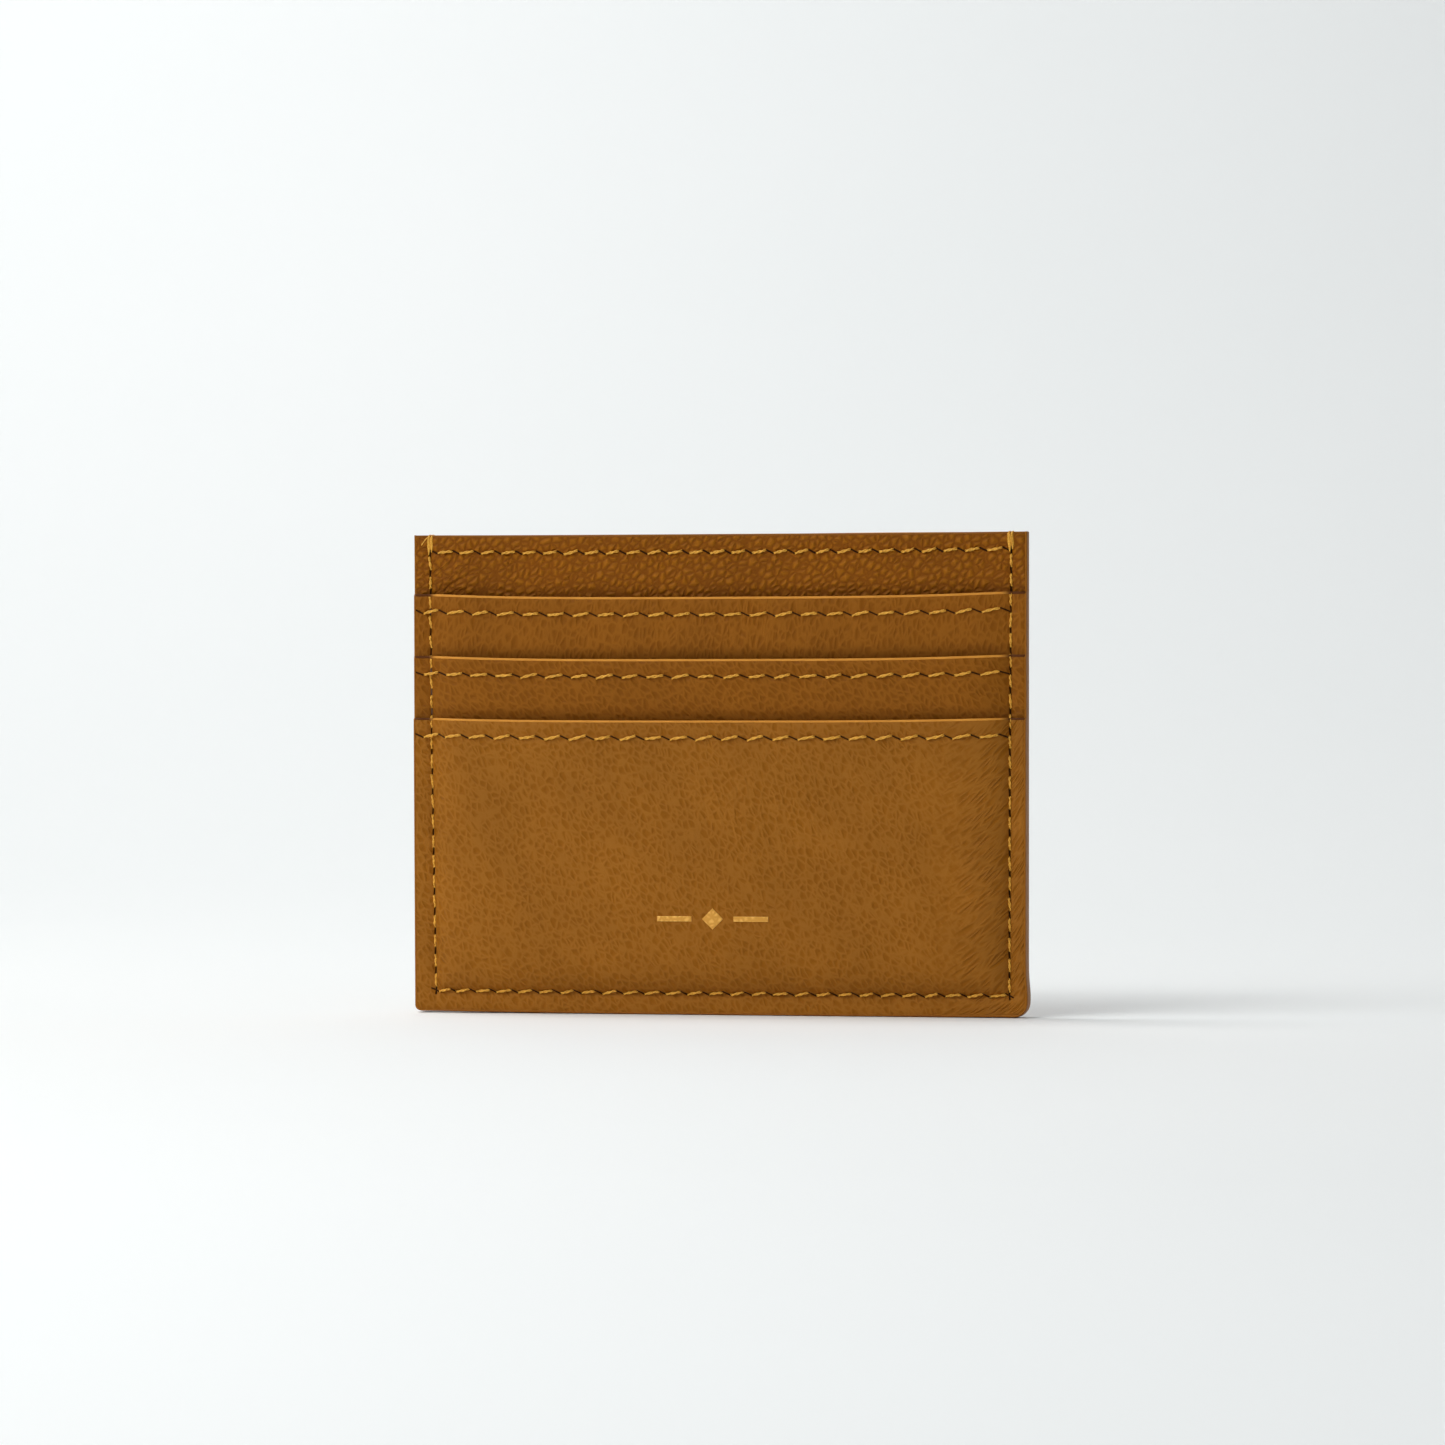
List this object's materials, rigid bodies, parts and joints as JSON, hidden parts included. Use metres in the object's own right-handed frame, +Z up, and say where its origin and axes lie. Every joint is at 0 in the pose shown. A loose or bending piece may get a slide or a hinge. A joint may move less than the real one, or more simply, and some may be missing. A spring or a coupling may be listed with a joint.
{
  "type": "card holder",
  "caption": "Slim sewn leather card holder with stepped card slots on its front and an open-topped centre pocket.",
  "frame": {"origin": "middle of the base edge, on the plane where the front half and the back half are glued together", "axes": "+X along the width, to the viewer's right; +Z up; the card slots face -Y"},
  "size_m": [0.1, 0.009, 0.078],
  "materials": {
    "panel_leather": "pebbled full grain, semi-matt, tan brown",
    "pocket_leather": "pebbled full grain, semi-matt, tan brown",
    "slot_leather": "pebbled full grain, semi-matt, tan brown",
    "lining_fabric": "fine plain weave, matt, dark brown",
    "stiffener_board": "plain fibre board, matt",
    "edge_paint": "satin edge paint, light tan",
    "sewing_thread": "waxed polyester thread, golden yellow",
    "gold_foil": "hot stamped gold foil, satin"
  },
  "bodies": {
    "root": {"back_panel": "panel_leather", "back_board": "stiffener_board", "back_lining": "lining_fabric", "front_lining": "lining_fabric", "front_board": "stiffener_board", "front_panel": "panel_leather", "upper_slot_lining": "lining_fabric", "upper_slot_facing": "slot_leather", "middle_slot_lining": "lining_fabric", "middle_slot_facing": "slot_leather", "lower_pocket": "pocket_leather", "foil_ornament": "gold_foil", "perimeter_edge_coat": "edge_paint", "front_top_edge_coat": "edge_paint", "back_top_edge_coat": "edge_paint", "upper_lip_coat": "edge_paint", "middle_lip_coat": "edge_paint", "lower_lip_coat": "edge_paint", "perimeter_seam_thread": "sewing_thread", "front_top_row_thread": "sewing_thread", "back_top_row_thread": "sewing_thread", "upper_lip_row_thread": "sewing_thread", "middle_lip_row_thread": "sewing_thread", "lower_lip_row_thread": "sewing_thread", "upper_floor_seam_thread": "sewing_thread", "middle_floor_seam_thread": "sewing_thread", "left_bartack": "sewing_thread", "right_bartack": "sewing_thread"}
  },
  "joints": []
}
